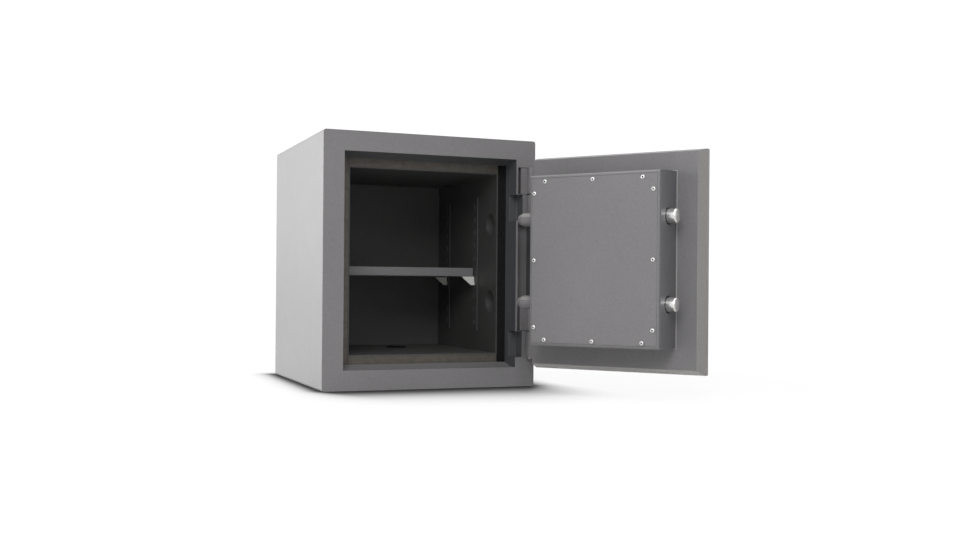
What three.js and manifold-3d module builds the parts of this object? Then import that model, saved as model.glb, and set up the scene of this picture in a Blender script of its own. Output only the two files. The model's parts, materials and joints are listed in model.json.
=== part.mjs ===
// A free-standing burglary and fire safe with one shelf, standing with its door open.
// Millimetres, +Z up. The safe's front faces -Y and its hinges are on the +X side.
// The origin is the middle of the underside.
//
// Pieces are drawn in "safe coordinates": x to the right from the left side, y to the back from
// the front face, z up from the floor. The outer group moves them to the origin above. The door
// and all it carries are drawn shut, and a pivot group on the hinge axis swings them open.

import * as THREE from "three";
import { mergeVertices } from "three/addons/utils/BufferGeometryUtils.js";
import Module from "manifold-3d";

const wasm = await Module();
wasm.setup();

// ---------------------------------------------------------------- driving dimensions

const GAP = 0.3; // left between pieces that touch
const BODY = { width: 409, depth: 417, height: 464 };
const SHEET = 3; // steel of the casing, the back panel and the bolt box
const FLANGE = 4; // thickness of the frame's front flange
const CORNER_R = 4.5; // the casing's long edges

const OPENING = { side: 38.5, top: 36.5 }; // clear opening's distance from the outside
const JAMB = { depth: 43, straight: 22, taperX: 3.6, taperZ: 7.5 };
const SEAL = { front: 44.5, thick: 3, outer: 30 }; // ring that the door shuts against
const SEAL_BACK = SEAL.front + SEAL.thick;
const LINER = { side: 60, end: 61, wall: 2, front: 44.5, back: 377 }; // the room inside

const PLATE = { left: 41, right: 369.3, bottom: 39, top: 425, front: 11 };
const PLATE_THICK = 31.6;
const FACE_THICK = 10.7; // the door's solid front plate, with square edges
const BEVEL = { free: 9, hinge: 2.8, top: 5 }; // width of the pan's bevel
const PAN_SHEET = 2;

const BOX = { left: 87, right: 334, bottom: 85, top: 383.5, back: 115.2, bend: 5 };
const BOX_LEAN = 3.5; // the box's top side rises this much towards the door plate
const COVER = { inset: 5, thick: 2.8, rebate: 3.2, ledge: 3, ledgeWidth: 12 };

const HINGE_AXIS = { x: 398.5, y: -8.3 };
const REST_OPENING = THREE.MathUtils.degToRad(126.5);
const KNUCKLE_R = 8;
const PIN_R = 4.3;
const HINGES = [
  { name: "upper", strap: [313.6, 361.2], block: [363.5, 412.4] },
  { name: "lower", strap: [55.9, 103.5], block: [105.8, 154.8] },
];

const BOLT = { r: 12.7, y: 79, tip: 70.8, rear: 118.7, chamfer: 3 }; // drawn back
const BOLT_HEIGHTS = { upper: 308.5, lower: 160 };
const DEAD_BOLT = { r: 12.2, y: 79.5, tip: 373.5, nose: 9, noseR: 8.7 };
const SOCKET = { r: 21, y: 78, wall: 2, leftEnd: 41, rightEnd: 385.5 };

const HANDLE = { x: 205.5, z: 178, crank: 21, restTurn: THREE.MathUtils.degToRad(30) };
const DIAL = { x: 205.5, z: 290 };
const LOCK = { left: 175, right: 236, bottom: 255, top: 338, front: 48.3, back: 77 };
const LOCK_BOLT = { left: 199.5, right: 211.5, front: 53, back: 60.5, tail: 316 };
const DRIVE_Y = { front: 92, back: 96 };

const STANDARD = { width: 30, thick: 2, bottom: 100, top: 366, fronts: [140, 300] };
const SLOT = { pitch: 25.4, count: 10, height: 9, width: 4, first: 118 };
const SHELF = { top: 225, lip: 17, sheet: 2, front: 156, back: 372, sideGap: 2 };
const CLIP = { reach: 24, height: 17, sheet: 1.6 };
const ANCHOR = { x: 221, y: 270, r: 17 };

const SCREW = { headR: 3.9, headHeight: 2.2, shankR: 1.7, shankLength: 9, socketR: 1.5 };

// ---------------------------------------------------------------- solids

// Any closed geometry becomes a manifold solid.
function solid(geometry) {
  const bare = new THREE.BufferGeometry();
  const source = geometry.index ? geometry.toNonIndexed() : geometry;
  bare.setAttribute("position", source.getAttribute("position").clone());
  const merged = mergeVertices(bare, 1e-3);
  return new wasm.Manifold(
    new wasm.Mesh({
      numProp: 3,
      vertProperties: merged.attributes.position.array,
      triVerts: new Uint32Array(merged.index.array),
    }),
  );
}

function geometryOf(manifold) {
  const { vertProperties, triVerts } = manifold.getMesh();
  const geometry = new THREE.BufferGeometry();
  geometry.setAttribute("position", new THREE.BufferAttribute(vertProperties, 3));
  geometry.setIndex(new THREE.BufferAttribute(triVerts, 1));
  return geometry;
}

function box(x0, x1, y0, y1, z0, z1) {
  const geometry = new THREE.BoxGeometry(x1 - x0, y1 - y0, z1 - z0);
  return solid(geometry.translate((x0 + x1) / 2, (y0 + y1) / 2, (z0 + z1) / 2));
}

// Round bars along each axis; u and v are the other two coordinates in x, y, z order.
function barX(x0, x1, y, z, r, sides = 24) {
  const geometry = new THREE.CylinderGeometry(r, r, x1 - x0, sides).rotateZ(Math.PI / 2);
  return solid(geometry.translate((x0 + x1) / 2, y, z));
}

function barY(y0, y1, x, z, r, sides = 24) {
  const geometry = new THREE.CylinderGeometry(r, r, y1 - y0, sides);
  return solid(geometry.translate(x, (y0 + y1) / 2, z));
}

function barZ(z0, z1, x, y, r, sides = 24) {
  const geometry = new THREE.CylinderGeometry(r, r, z1 - z0, sides).rotateX(Math.PI / 2);
  return solid(geometry.translate(x, y, (z0 + z1) / 2));
}

function outline(points) {
  return new THREE.Shape(points.map(([a, b]) => new THREE.Vector2(a, b)));
}

function roundedRect(a0, a1, b0, b1, r, segments = 4) {
  const shape = new THREE.Shape();
  shape.moveTo(a0 + r, b0);
  shape.lineTo(a1 - r, b0);
  shape.absarc(a1 - r, b0 + r, r, -Math.PI / 2, 0);
  shape.absarc(a1 - r, b1 - r, r, 0, Math.PI / 2);
  shape.absarc(a0 + r, b1 - r, r, Math.PI / 2, Math.PI);
  shape.absarc(a0 + r, b0 + r, r, Math.PI, 1.5 * Math.PI);
  return new THREE.Shape(shape.extractPoints(segments).shape);
}

// A flat outline in x and z, made thick along y.
function slabY(shape, y0, y1) {
  const options = { depth: y1 - y0, bevelEnabled: false };
  return solid(new THREE.ExtrudeGeometry(shape, options).rotateX(Math.PI / 2).translate(0, y1, 0));
}

// A flat outline in x and y, made thick along z.
function slabZ(shape, z0, z1) {
  const options = { depth: z1 - z0, bevelEnabled: false };
  return solid(new THREE.ExtrudeGeometry(shape, options).translate(0, 0, z0));
}

// A frustum between two rectangles, [x0, x1, z0, z1] at y0 and at y1.
function taper(y0, near, y1, far) {
  const corners = [];
  for (const [y, [x0, x1, z0, z1]] of [[y0, near], [y1, far]]) {
    corners.push([x0, y, z0], [x1, y, z0], [x1, y, z1], [x0, y, z1]);
  }
  const quads = [[0, 1, 2, 3], [7, 6, 5, 4], [0, 4, 5, 1], [1, 5, 6, 2], [2, 6, 7, 3], [3, 7, 4, 0]];
  const geometry = new THREE.BufferGeometry();
  geometry.setAttribute("position", new THREE.Float32BufferAttribute(corners.flat(), 3));
  geometry.setIndex(quads.flatMap(([a, b, c, d]) => [a, b, c, a, c, d]));
  return solid(geometry);
}

// A turned piece. The profile is [radius, along] from one end of the axis to the other.
function turned(profile, sides) {
  return new THREE.LatheGeometry(profile.map(([r, h]) => new THREE.Vector2(r, h)), sides);
}

// The turned piece's axis points to -y, out of the front, with its 0 at y.
function turnedFront(profile, x, y, z, sides = 32) {
  return solid(turned(profile, sides).rotateX(Math.PI).translate(x, y, z));
}

function union(...pieces) {
  return pieces.reduce((a, b) => a.add(b));
}

function cut(piece, ...tools) {
  return tools.reduce((a, b) => a.subtract(b), piece);
}

// ---------------------------------------------------------------- finishes

function finish(color, roughness, metalness) {
  return new THREE.MeshStandardMaterial({ color, roughness, metalness });
}

const PAINT = () => finish(0x7f7e80, 0.55, 0.25);
const DARK_PAINT = () => finish(0x3c3c3e, 0.6, 0.2);
const ZINC = () => finish(0xd2d3cf, 0.3, 1);
const NICKEL = () => finish(0xd8d8d4, 0.22, 1);
const STEEL = () => finish(0x9b9c9e, 0.4, 1);
const STRIP = () => finish(0x4b463e, 0.8, 0);
const FILL = () => finish(0xb9b4a8, 0.95, 0);
const BRASS = () => finish(0xb59a55, 0.35, 1);
const BLACK = () => finish(0x151516, 0.5, 0);

function addTo(group, name, piece, material) {
  const mesh = new THREE.Mesh(geometryOf(piece), material);
  mesh.name = name;
  group.add(mesh);
  return mesh;
}

// ---------------------------------------------------------------- body

const openingAt = (inset) => [
  OPENING.side + inset.x,
  BODY.width - OPENING.side - inset.x,
  OPENING.top + inset.z,
  BODY.height - OPENING.top - inset.z,
];

function doorway() {
  const straight = openingAt({ x: 0, z: 0 });
  const inner = openingAt({ x: JAMB.taperX, z: JAMB.taperZ });
  const front = taper(-1, straight, JAMB.straight, straight);
  const back = taper(JAMB.straight, straight, JAMB.depth + 0.01, inner);
  return union(front, back, box(inner[0], inner[1], JAMB.depth, JAMB.depth + 1, inner[2], inner[3]));
}

// The channel in the right stile that holds the hinges, and the notches for the door's straps.
const CHANNEL = { left: 374.6, right: 402.5, depth: 24, web: 2.7 };
const NOTCH_RIGHT = 384;
const NOTCH_DEPTH = 30;

function hingeCuts() {
  const cuts = [];
  const edge = BODY.width - OPENING.side;
  for (const { strap, block } of HINGES) {
    cuts.push(box(CHANNEL.left, CHANNEL.right, -1, CHANNEL.depth, block[0] - 0.7, block[1] + 0.8));
    cuts.push(box(edge - 5, NOTCH_RIGHT, -1, NOTCH_DEPTH, strap[0] - 0.8, strap[1] + 0.6));
  }
  const middle = [HINGES[1].block[1] + CHANNEL.web, HINGES[0].strap[0] - CHANNEL.web];
  cuts.push(box(CHANNEL.left, CHANNEL.right, -1, CHANNEL.depth, ...middle));
  return cuts;
}

function frontFrame() {
  const inside = SHEET + GAP;
  const face = slabY(roundedRect(0, BODY.width, 0, BODY.height, CORNER_R), 0, FLANGE);
  const jamb = box(inside, BODY.width - inside, FLANGE, JAMB.depth, inside, BODY.height - inside);
  return cut(union(face, jamb), doorway(), ...hingeCuts());
}

function outerShell() {
  const front = FLANGE + GAP;
  const outer = slabY(roundedRect(0, BODY.width, 0, BODY.height, CORNER_R), front, BODY.depth);
  const inner = roundedRect(SHEET, BODY.width - SHEET, SHEET, BODY.height - SHEET, 1);
  return cut(outer, slabY(inner, front - 1, BODY.depth + 1), anchorHole(-1, SHEET + 1));
}

function backPanel() {
  const edge = SHEET + GAP;
  return box(edge, BODY.width - edge, BODY.depth - SHEET, BODY.depth, edge, BODY.height - edge);
}

function anchorHole(z0, z1) {
  return barZ(z0, z1, ANCHOR.x, ANCHOR.y, ANCHOR.r + GAP);
}

const roomAt = (grow) => [
  LINER.side - grow,
  BODY.width - LINER.side + grow,
  LINER.end - grow,
  BODY.height - LINER.end + grow,
];

function room(grow, y0, y1) {
  const [x0, x1, z0, z1] = roomAt(grow);
  return box(x0, x1, y0, y1, z0, z1);
}

// Each cup stands behind a round hole in a side wall of the liner.
const SOCKET_SIDES = [
  { side: "left", mouth: LINER.side - LINER.wall, end: SOCKET.leftEnd },
  { side: "right", mouth: BODY.width - LINER.side + LINER.wall, end: SOCKET.rightEnd },
];

function innerLiner() {
  const { wall, front, back } = LINER;
  const shell = room(wall, front, back + wall);
  const holes = Object.values(BOLT_HEIGHTS).map((z) => barX(50, 360, SOCKET.y, z, SOCKET.r));
  return cut(shell, room(0, front - 1, back), anchorHole(50, 70), ...holes);
}

const between = (a, b) => [Math.min(a, b), Math.max(a, b)];

function boltSocket({ mouth, end }, z) {
  const inwards = Math.sign(mouth - end);
  const cup = barX(...between(end, mouth - inwards * GAP), SOCKET.y, z, SOCKET.r + SOCKET.wall);
  const hollow = between(end + inwards * SOCKET.wall, mouth + inwards);
  return cut(cup, barX(...hollow, SOCKET.y, z, SOCKET.r));
}

function fireFill() {
  const skin = SHEET + GAP;
  const y1 = BODY.depth - SHEET - GAP;
  const block = box(skin, BODY.width - skin, SEAL_BACK + GAP, y1, skin, BODY.height - skin);
  const pockets = [];
  for (const { mouth, end } of SOCKET_SIDES) {
    for (const z of Object.values(BOLT_HEIGHTS)) {
      const ends = between(mouth, end + Math.sign(end - mouth) * GAP);
      pockets.push(barX(...ends, SOCKET.y, z, SOCKET.r + SOCKET.wall + GAP));
    }
  }
  const around = room(LINER.wall + GAP, 40, LINER.back + LINER.wall + GAP);
  return cut(block, around, anchorHole(-1, 70), ...pockets);
}

// The step behind the jamb, round the front edge of the liner.
function sealRing() {
  const inner = LINER.wall + GAP;
  const ring = box(
    SEAL.outer, BODY.width - SEAL.outer, SEAL.front, SEAL_BACK, SEAL.outer, BODY.height - SEAL.outer,
  );
  return cut(ring, room(inner, 40, 50));
}

function hingeBlock({ block: [z0, z1] }) {
  const { x, y } = HINGE_AXIS;
  const leaf = box(380.4, CHANNEL.right - 0.5, 0, CHANNEL.depth - 0.5, z0, z1);
  const neck = box(391, CHANNEL.right - 0.5, y, 1, z0, z1);
  const knuckle = barZ(z0, z1, x, y, KNUCKLE_R);
  return cut(union(leaf, neck, knuckle), barZ(z0 - 1, z1 - 6, x, y, PIN_R + GAP, 24));
}

function hingePin({ strap: [z0], block: [, z1] }) {
  const { x, y } = HINGE_AXIS;
  const head = barZ(z0 - 4, z0 - 0.9, x, y, KNUCKLE_R - 1);
  return union(head, barZ(z0 - 1.5, z1 - 6.4, x, y, PIN_R));
}

function shelfStandard(side, front) {
  const inset = LINER.side + GAP;
  const right = BODY.width - inset;
  const face = side === "left" ? [inset, inset + STANDARD.thick] : [right - STANDARD.thick, right];
  const strip = box(face[0], face[1], front, front + STANDARD.width, STANDARD.bottom, STANDARD.top);
  const middle = front + STANDARD.width / 2;
  const slots = [];
  for (let i = 0; i < SLOT.count; i += 1) {
    const z = SLOT.first + i * SLOT.pitch;
    const [y0, y1] = [middle - SLOT.width / 2, middle + SLOT.width / 2];
    slots.push(box(face[0] - 1, face[1] + 1, y0, y1, z - SLOT.height / 2, z + SLOT.height / 2));
  }
  return cut(strip, ...slots);
}

// A folded gusset: an upright cheek across the wall, and a flat seat along it on top.
function shelfClip(side, front) {
  const out = side === "left" ? 1 : -1;
  const wall = side === "left" ? LINER.side : BODY.width - LINER.side;
  const face = wall + out * (STANDARD.thick + 2 * GAP);
  const top = SHELF.top - SHELF.sheet - GAP;
  const low = top - SHELF.lip - CLIP.height + SHELF.sheet;
  const middle = front + STANDARD.width / 2;
  const seatTop = SHELF.top - SHELF.lip - GAP;
  const points = [[0, seatTop], [CLIP.reach, seatTop], [CLIP.reach, seatTop - 3], [7, low], [0, low]];
  const cheek = slabY(
    outline((out > 0 ? points : points.toReversed()).map(([a, b]) => [face + out * a, b])),
    middle - CLIP.sheet / 2,
    middle + CLIP.sheet / 2,
  );
  const [x0, x1] = out > 0 ? [face, face + CLIP.reach] : [face - CLIP.reach, face];
  const seat = box(x0, x1, middle - CLIP.sheet / 2, middle + 11, seatTop - CLIP.sheet, seatTop);
  const tabX = out > 0 ? [face - 1.8, face + 1] : [face - 1, face + 1.8];
  const slotZ = nearestSlot(low + 6);
  const tab = box(tabX[0], tabX[1], middle - CLIP.sheet / 2, middle + CLIP.sheet / 2, slotZ - 3, slotZ + 3);
  return union(cheek, seat, tab);
}

function nearestSlot(z) {
  return SLOT.first + Math.round((z - SLOT.first) / SLOT.pitch) * SLOT.pitch;
}

function anchorPlug() {
  const floor = LINER.end;
  const plug = barZ(floor - 12, floor + 1, ANCHOR.x, ANCHOR.y, ANCHOR.r);
  const head = barZ(floor + GAP, floor + 2.5, ANCHOR.x, ANCHOR.y, ANCHOR.r + 3);
  const tab = box(ANCHOR.x - 16, ANCHOR.x - 11, ANCHOR.y - 3, ANCHOR.y + 3, floor + 1, floor + 5);
  return union(plug, head, tab);
}

function addBody(group) {
  addTo(group, "outer_shell", outerShell(), PAINT());
  addTo(group, "back_panel", backPanel(), PAINT());
  addTo(group, "front_frame", frontFrame(), PAINT());
  addTo(group, "fire_fill", fireFill(), FILL());
  addTo(group, "inner_liner", innerLiner(), DARK_PAINT());
  addTo(group, "seal_ring", sealRing(), STRIP());
  for (const end of SOCKET_SIDES) {
    for (const [height, z] of Object.entries(BOLT_HEIGHTS)) {
      addTo(group, `bolt_socket_${end.side}_${height}`, boltSocket(end, z), STEEL());
    }
  }
  for (const hinge of HINGES) {
    addTo(group, `hinge_block_${hinge.name}`, hingeBlock(hinge), PAINT());
    addTo(group, `hinge_pin_${hinge.name}`, hingePin(hinge), STEEL());
  }
  for (const side of ["left", "right"]) {
    STANDARD.fronts.forEach((front, i) => {
      const place = `${side}_${["front", "rear"][i]}`;
      addTo(group, `shelf_standard_${place}`, shelfStandard(side, front), DARK_PAINT());
      addTo(group, `shelf_clip_${place}`, shelfClip(side, front), ZINC());
    });
  }
  addTo(group, "anchor_plug", anchorPlug(), BLACK());
}

// A folded tray, its front and rear lips turned down.
function shelf() {
  const x0 = LINER.side + STANDARD.thick + GAP + SHELF.sideGap;
  const x1 = BODY.width - x0;
  const { top, lip, sheet, front, back } = SHELF;
  const tray = box(x0, x1, front, back, top - lip, top);
  const under = box(x0 + sheet, x1 - sheet, front + sheet, back - sheet, top - lip - 1, top - sheet);
  return cut(tray, under);
}

// ---------------------------------------------------------------- door

const plateRect = [PLATE.left, PLATE.right, PLATE.bottom, PLATE.top];
const plateBack = PLATE.front + PLATE_THICK;

function facePlate() {
  const plate = taper(PLATE.front, plateRect, PLATE.front + FACE_THICK, plateRect);
  return cut(plate, ...doorHoles(0, 60));
}

function doorHoles(y0, y1) {
  return [barY(y0, y1, HANDLE.x, HANDLE.z, 7.6), barY(y0, y1, DIAL.x, DIAL.z, 5)];
}

// A bevelled solid behind the face plate, its walls moved in by an inset.
function panBlock(y0, y1, inset) {
  const [x0, x1, z0, z1] = plateRect;
  const near = [x0 + inset, x1 - inset, z0 + inset, z1 - inset];
  const far = [
    near[0] + BEVEL.free, near[1] - BEVEL.hinge, near[2] + BEVEL.free, near[3] - BEVEL.top,
  ];
  return taper(y0, near, y1, far);
}

const panFront = PLATE.front + FACE_THICK + GAP;

// The pan is open towards the face plate and holds the door's own filling.
function doorPan() {
  const hollow = panBlock(panFront - 0.01, plateBack - PAN_SHEET, PAN_SHEET + 0.5);
  return cut(panBlock(panFront, plateBack, 0), hollow, ...doorHoles(0, 60));
}

function doorFill() {
  const inset = PAN_SHEET + 0.5 + 2 * GAP;
  const fill = panBlock(panFront, plateBack - PAN_SHEET - GAP, inset);
  return cut(fill, barY(0, 60, HANDLE.x, HANDLE.z, 9), barY(0, 60, DIAL.x, DIAL.z, 7));
}

// A goose-neck strap: out of the knuckle in front of the frame, then back into the notch.
function hingeStrap({ strap: [low, high] }) {
  const { x, y } = HINGE_AXIS;
  const arm = slabZ(
    outline([[369.7, -10], [374, -14.3], [x, -14.3], [x, -2.3], [381, -2.3], [381, 28], [369.7, 28]]),
    low,
    high,
  );
  const knuckle = barZ(low, high, x, y, KNUCKLE_R);
  return cut(union(arm, knuckle), barZ(low - 1, high + 1, x, y, PIN_R + GAP));
}

function screwPlaces() {
  const columns = [BOX.left + 12, BOX.right - 10.2];
  const rows = [BOX.bottom + 10.5, BOX.top - 11.5];
  const middle = { x: (BOX.left + BOX.right) / 2, z: (BOX.bottom + BOX.top) / 2 };
  const spread = { x: 92.3, z: 117.2 };
  const places = [];
  for (const step of [-1, 0, 1]) {
    for (const z of rows) places.push([middle.x + step * spread.x, z]);
    for (const x of columns) places.push([x, middle.z + step * spread.z]);
  }
  return places;
}

// A block whose back edges are rounded by the bend radius of its sheet, and whose top side
// leans back by the given rise.
function bentBlock([x0, x1, z0, z1], front, back, r, lean) {
  const steps = 4;
  const at = (i) => {
    const a = (i / steps) * (Math.PI / 2);
    const inset = r * (1 - Math.cos(a));
    return { y: back - r + r * Math.sin(a), rect: [x0 + inset, x1 - inset, z0 + inset, z1 - inset] };
  };
  let block = taper(front, [x0, x1, z0, z1 + lean], back - r, [x0, x1, z0, z1]);
  for (let i = 0; i < steps; i += 1) {
    const [near, far] = [at(i), at(i + 1)];
    block = block.add(taper(near.y, near.rect, far.y, far.rect));
  }
  return block;
}

function boltBox() {
  const { left, right, bottom, top, back } = BOX;
  const front = plateBack + GAP;
  const wall = SHEET;
  const shell = bentBlock([left, right, bottom, top], front, back, BOX.bend, BOX_LEAN);
  const ledgeFront = back - COVER.rebate - COVER.ledge;
  const hollow = [left + wall, right - wall, bottom + wall, top - wall];
  const deep = [...hollow.slice(0, 3), top - wall + BOX_LEAN];
  const room = taper(front - 1, deep, ledgeFront, hollow);
  const i = COVER.inset;
  const rebate = slabY(
    roundedRect(left + i, right - i, bottom + i, top - i, 1),
    back - COVER.rebate,
    back + 1,
  );
  const w = COVER.inset + COVER.ledgeWidth;
  const window = box(left + w, right - w, ledgeFront - 1, back, bottom + w, top - w);
  const boltHoles = Object.values(BOLT_HEIGHTS).map((z) => barX(left - 1, left + 5, BOLT.y, z, 15.2));
  const screwHoles = screwPlaces().map(([x, z]) => barY(100, back, x, z, SCREW.shankR + GAP, 8));
  return cut(shell, room, rebate, window, ...boltHoles, ...screwHoles);
}

function boxCover() {
  const i = COVER.inset + 0.4;
  const { left, right, bottom, top, back } = BOX;
  const y0 = back - COVER.rebate + GAP;
  const plate = slabY(roundedRect(left + i, right - i, bottom + i, top - i, 1), y0, y0 + COVER.thick);
  return cut(plate, ...screwPlaces().map(([x, z]) => barY(100, 120, x, z, SCREW.shankR + GAP, 8)));
}

function coverScrew([x, z]) {
  const face = BOX.back - COVER.rebate + GAP + COVER.thick + GAP;
  const { headR, headHeight, shankR, shankLength, socketR } = SCREW;
  const profile = [
    [0, headHeight - 1.4], [socketR, headHeight - 1.4], [socketR, headHeight], [headR - 1.2, headHeight],
    [headR, 0.5], [headR, 0], [shankR, 0], [shankR, -shankLength], [0, -shankLength],
  ];
  return solid(turned(profile.toReversed(), 10).translate(x, face, z));
}

// A bar on the hinge side of the box, its nose tapered so that it swings clear of its socket.
function deadBolt(z) {
  const { r, tip, y, nose, noseR } = DEAD_BOLT;
  const start = BOX.right + GAP;
  const profile = [
    [0, start], [r, start], [r, tip - nose],
    [noseR + 1.3, tip - 3.2], [noseR, tip - 1.2], [noseR - 1.2, tip], [0, tip],
  ];
  return solid(turned(profile, 24).rotateZ(-Math.PI / 2).translate(0, y, z));
}

function liveBolt(z) {
  const { r, tip, rear, chamfer, y } = BOLT;
  const profile = [
    [0, tip], [r - chamfer, tip], [r - 0.8, tip + 0.8], [r, tip + chamfer], [r, rear], [0, rear],
  ];
  return solid(turned(profile, 24).rotateZ(-Math.PI / 2).translate(0, y, z));
}

function boltGuide(z) {
  const x0 = BOX.left + SHEET + GAP;
  return cut(barX(x0, x0 + 6, BOLT.y, z, 20), barX(x0 - 1, x0 + 7, BOLT.y, z, BOLT.r + 0.5, 32));
}

function lockCase() {
  const { left, right, bottom, top, front, back } = LOCK;
  const block = box(left, right, front, back, bottom, top);
  const room = box(left + 4, right - 4, front + 4, back + 1, bottom + 4, top - 4);
  const bolt = LOCK_BOLT;
  const mouth = box(bolt.left - GAP, bolt.right + GAP, bolt.front - GAP, bolt.back + GAP, top - 5, top + 1);
  return cut(block, room, mouth, barY(front - 1, front + 5, DIAL.x, DIAL.z, 4.6));
}

function lockCover() {
  const { left, right, bottom, top, back } = LOCK;
  return box(left, right, back + GAP, back + GAP + 2.5, bottom, top);
}

function dialRing() {
  const profile = [[37, 0.3], [37, 8], [38.5, 9.5], [43, 7], [45, 2], [45, 0.3], [37, 0.3]];
  return turnedFront(profile.toReversed(), DIAL.x, PLATE.front, DIAL.z, 32);
}

function addDoor(group) {
  addTo(group, "door_face_plate", facePlate(), PAINT());
  addTo(group, "door_pan", doorPan(), PAINT());
  addTo(group, "door_fill", doorFill(), FILL());
  for (const hinge of HINGES) {
    addTo(group, `hinge_strap_${hinge.name}`, hingeStrap(hinge), PAINT());
  }
  addTo(group, "bolt_box", boltBox(), PAINT());
  addTo(group, "box_cover", boxCover(), PAINT());
  screwPlaces().forEach((place, i) => {
    const number = String(i + 1).padStart(2, "0");
    addTo(group, `cover_screw_${number}`, coverScrew(place), ZINC());
  });
  for (const [height, z] of Object.entries(BOLT_HEIGHTS)) {
    addTo(group, `dead_bolt_${height}`, deadBolt(z), PAINT());
    addTo(group, `bolt_guide_${height}`, boltGuide(z), BRASS());
  }
  addTo(group, "lock_case", lockCase(), ZINC());
  addTo(group, "lock_cover", lockCover(), ZINC());
  addTo(group, "dial_ring", dialRing(), NICKEL());
}

// ---------------------------------------------------------------- bolt work

const BAR = { left: BOLT.rear + GAP, thick: 8, bottom: 138, top: 331, front: 66, back: 98 };

function boltBar() {
  return box(BAR.left, BAR.left + BAR.thick, BAR.front, BAR.back, BAR.bottom, BAR.top);
}

// Where the crank pin stands with the bolts drawn back.
const crankPin = {
  x: HANDLE.x + HANDLE.crank * Math.sin(HANDLE.restTurn),
  z: HANDLE.z + HANDLE.crank * Math.cos(HANDLE.restTurn),
  r: 4,
};

// Sheet that the crank pin moves sideways, with the finger that the lock's bolt holds.
function drivePlate() {
  const x0 = BAR.left + BAR.thick + GAP;
  const { front, back } = DRIVE_Y;
  const finger = { left: 212.6, right: 219.1, bottom: 341, top: 352 };
  const { right, bottom, top } = finger;
  const plate = slabY(
    outline([
      [x0, 184], [228, 184], [228, 212], [150, 212], [150, bottom], [right, bottom], [right, top],
      [x0, top],
    ]),
    front,
    back,
  );
  const slotTop = HANDLE.z + HANDLE.crank + crankPin.r + 0.6;
  const slot = slabY(
    roundedRect(crankPin.x - 4.5, crankPin.x + 4.5, crankPin.z - 5, slotTop, 4.4),
    front - 1,
    back + 1,
  );
  const hold = box(finger.left, finger.right, 50.5, front + 1, finger.bottom, finger.top);
  return union(cut(plate, slot), hold);
}

function handleShaft() {
  const { x, z } = HANDLE;
  const shaft = barY(-8, 84.5, x, z, 7);
  const crank = barY(84, 90, x, z, 27, 32);
  return union(shaft, crank, barY(89, 98.5, crankPin.x, crankPin.z, crankPin.r, 20));
}

// Three spokes in a turned hub, with the shaft's bore left open at the back.
function handle() {
  const { x, z } = HANDLE;
  const y = PLATE.front;
  const hub = turnedFront(
    [[0, 46], [9, 46], [13, 43], [15, 36], [15, 24], [20, 14], [21, 4], [21, 1], [0, 1]].toReversed(),
    x, y, z, 28,
  );
  const spoke = [[0, 0], [5, 0], [4.4, 30], [7, 54], [7, 60], [5, 64], [0, 65]];
  const spokes = [0, 1, 2].map((i) => {
    const turn = HANDLE.restTurn + (i * 2 * Math.PI) / 3;
    const arm = turned(spoke, 12).rotateX(Math.PI / 2).rotateY(turn);
    return solid(arm.translate(x, y - 30, z));
  });
  return cut(union(hub, ...spokes), barY(y - 19.4, y + 2, x, z, 7 + GAP));
}

function dial() {
  const profile = [
    [0, 1], [35.8, 1], [35.8, 5], [33, 8], [20, 10], [17, 14], [17, 30], [14, 33], [0, 33],
  ];
  const knob = turnedFront(profile, DIAL.x, PLATE.front, DIAL.z, 32);
  return cut(knob, barY(PLATE.front - 14, PLATE.front, DIAL.x, DIAL.z, 4.3, 20));
}

// Spindle with the lock's drive cam on its inner end.
function dialSpindle() {
  const rod = barY(PLATE.front - 13.4, 75.5, DIAL.x, DIAL.z, 4, 20);
  const cam = cut(
    barY(LOCK_BOLT.front + 0.6, 60, DIAL.x, DIAL.z, 20, 24),
    box(DIAL.x - 3.5, DIAL.x + 3.5, 50, 61, DIAL.z + 13, DIAL.z + 21),
  );
  return union(rod, cam);
}

// Three wheels on one hub, each with its gate.
function wheelPack() {
  const gate = box(DIAL.x - 3.5, DIAL.x + 3.5, 60, 76, DIAL.z + 15, DIAL.z + 23);
  const wheels = [62, 66, 70].map((y) => barY(y, y + 2.2, DIAL.x, DIAL.z, 22, 24));
  const hub = barY(61, 74, DIAL.x, DIAL.z, 9, 20);
  return cut(union(hub, ...wheels), gate, barY(60, 75, DIAL.x, DIAL.z, 4.4, 20));
}

function lockBolt() {
  const { left, right, front, back, tail } = LOCK_BOLT;
  return box(left, right, front, back, tail, LOCK.top - 0.5);
}

function addMechanism(group) {
  addTo(group, "bolt_bar", boltBar(), STEEL());
  addTo(group, "drive_plate", drivePlate(), STEEL());
  for (const [height, z] of Object.entries(BOLT_HEIGHTS)) {
    addTo(group, `live_bolt_${height}`, liveBolt(z), NICKEL());
  }
  addTo(group, "handle", handle(), NICKEL());
  addTo(group, "handle_shaft", handleShaft(), STEEL());
  addTo(group, "dial", dial(), BLACK());
  addTo(group, "dial_spindle", dialSpindle(), BRASS());
  addTo(group, "wheel_pack", wheelPack(), BRASS());
  addTo(group, "lock_bolt", lockBolt(), BRASS());
}

// ---------------------------------------------------------------- assembly

const safe = new THREE.Group();
safe.position.set(-BODY.width / 2, -BODY.depth / 2, 0);
addBody(safe);
addTo(safe, "shelf", shelf(), DARK_PAINT());

const pivot = new THREE.Group();
pivot.position.set(HINGE_AXIS.x, HINGE_AXIS.y, 0);
pivot.rotation.z = REST_OPENING;
const door = new THREE.Group();
door.position.set(-HINGE_AXIS.x, -HINGE_AXIS.y, 0);
addDoor(door);
addMechanism(door);
pivot.add(door);
safe.add(pivot);

const root = new THREE.Group();
root.add(safe);

export default root;
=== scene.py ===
import bpy
import bmesh
import json
import math
from mathutils import Matrix, Vector

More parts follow.
